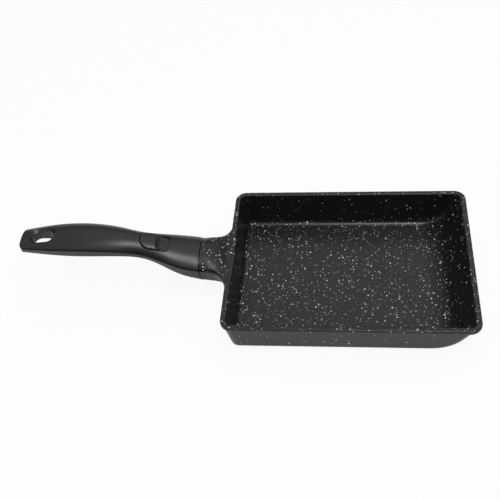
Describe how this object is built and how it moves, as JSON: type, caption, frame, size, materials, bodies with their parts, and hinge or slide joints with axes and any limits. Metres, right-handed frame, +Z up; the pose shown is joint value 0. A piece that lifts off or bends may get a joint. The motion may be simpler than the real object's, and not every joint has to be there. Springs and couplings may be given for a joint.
{
  "type": "tamagoyaki pan",
  "caption": "Rectangular non-stick omelette pan with one curved end wall, a flat rim and a detachable handle with a sliding release button.",
  "frame": {"origin": "centre of the pan's rim outline, on the plane the pan stands on", "axes": "+X along the pan towards the curved end wall, the handle points along -X, +Z up, the model is symmetric about Y = 0"},
  "size_m": [0.3887, 0.156, 0.0669],
  "materials": {
    "stone_coating": "cast aluminium under a dark grey speckled stone-effect non-stick coating, satin",
    "base_steel": "perforated magnetic stainless plate, brushed",
    "handle_plastic": "dark silver-grey moulded plastic with a soft sheen",
    "slider_plastic": "grey moulded plastic, satin",
    "bright_steel": "sheet and spring steel, plain",
    "screw_steel": "zinc-plated steel"
  },
  "bodies": {
    "pan": {"pan_body": "stone_coating", "induction_plate": "base_steel"},
    "handle": {"handle_upper_shell": "handle_plastic", "handle_lower_shell": "handle_plastic", "socket_sleeve": "bright_steel", "latch_leaf": "bright_steel", "latch_screws": "screw_steel", "slider_springs": "bright_steel", "shell_screws": "screw_steel"},
    "slider": {"thumb_slider": "slider_plastic", "slider_carrier": "bright_steel", "slider_screw": "screw_steel"}
  },
  "joints": [
    {"name": "handle_slide", "type": "slide", "parent": "pan", "child": "handle", "axis": [-0.9613, 0, 0.2756], "range_m": [0, 0.045]},
    {"name": "release_slide", "type": "slide", "parent": "handle", "child": "slider", "axis": [0.9613, 0, -0.2756], "range_m": [0, 0.007], "stiffness_N_per_m": 2600, "springref_m": -0.001, "deforming": ["slider_springs", "latch_leaf"]}
  ]
}
